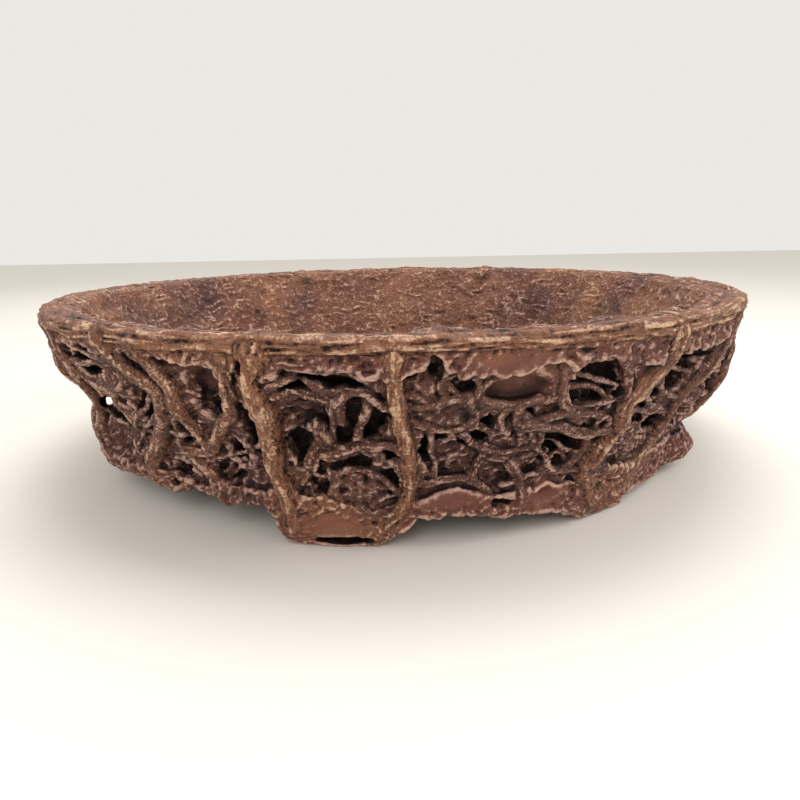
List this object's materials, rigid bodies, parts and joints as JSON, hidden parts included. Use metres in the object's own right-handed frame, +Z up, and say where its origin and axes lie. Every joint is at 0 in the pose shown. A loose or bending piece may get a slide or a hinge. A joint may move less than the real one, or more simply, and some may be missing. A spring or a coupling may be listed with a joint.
{
  "type": "bonsai pot",
  "caption": "Round shallow clay bonsai pot: a rough bowl with a flat lip and drainage holes, inside a cage of sculpted roots on an arched band with low feet.",
  "frame": {"origin": "centre of the footprint, on the plane that the feet stand on", "axes": "+Z up out of the bowl, -Y towards the side that the picture shows, +X to that view's right"},
  "size_m": [0.4199, 0.42, 0.102],
  "materials": {
    "bowl_clay": "matte, rough inside with tan flecks",
    "rim_clay": "matte, layered tan",
    "apron_clay": "matte, torn reddish brown",
    "root_clay": "satin, tan on the crests and dark in the hollows",
    "vine_clay": "matte, brown with paler crests",
    "foot_clay": "matte, reddish brown"
  },
  "bodies": {
    "root": {"floor_slab": "bowl_clay", "bowl_wall": "bowl_clay", "rim_coil": "rim_clay", "apron_1": "apron_clay", "apron_2": "apron_clay", "apron_3": "apron_clay", "apron_4": "apron_clay", "apron_5": "apron_clay", "apron_6": "apron_clay", "root_01": "root_clay", "root_02": "root_clay", "root_03": "root_clay", "root_04": "root_clay", "root_05": "root_clay", "root_06": "root_clay", "root_07": "root_clay", "root_08": "root_clay", "root_09": "root_clay", "root_10": "root_clay", "root_11": "root_clay", "root_12": "root_clay", "root_13": "root_clay", "root_14": "root_clay", "root_15": "root_clay", "root_16": "root_clay", "root_17": "root_clay", "root_18": "root_clay", "root_19": "root_clay", "root_20": "root_clay", "root_21": "root_clay", "root_22": "root_clay", "root_23": "root_clay", "root_24": "root_clay", "root_25": "root_clay", "root_26": "root_clay", "root_27": "root_clay", "vines_1": "vine_clay", "vines_2": "vine_clay", "vines_3": "vine_clay", "vines_4": "vine_clay", "vines_5": "vine_clay", "vines_6": "vine_clay", "vines_7": "vine_clay", "vines_8": "vine_clay", "vines_9": "vine_clay", "band_1": "foot_clay", "band_2": "foot_clay", "band_3": "foot_clay", "band_4": "foot_clay", "band_5": "foot_clay", "band_6": "foot_clay", "foot_1": "foot_clay", "foot_2": "foot_clay", "foot_3": "foot_clay", "foot_4": "foot_clay", "foot_5": "foot_clay", "foot_6": "foot_clay"}
  },
  "joints": []
}
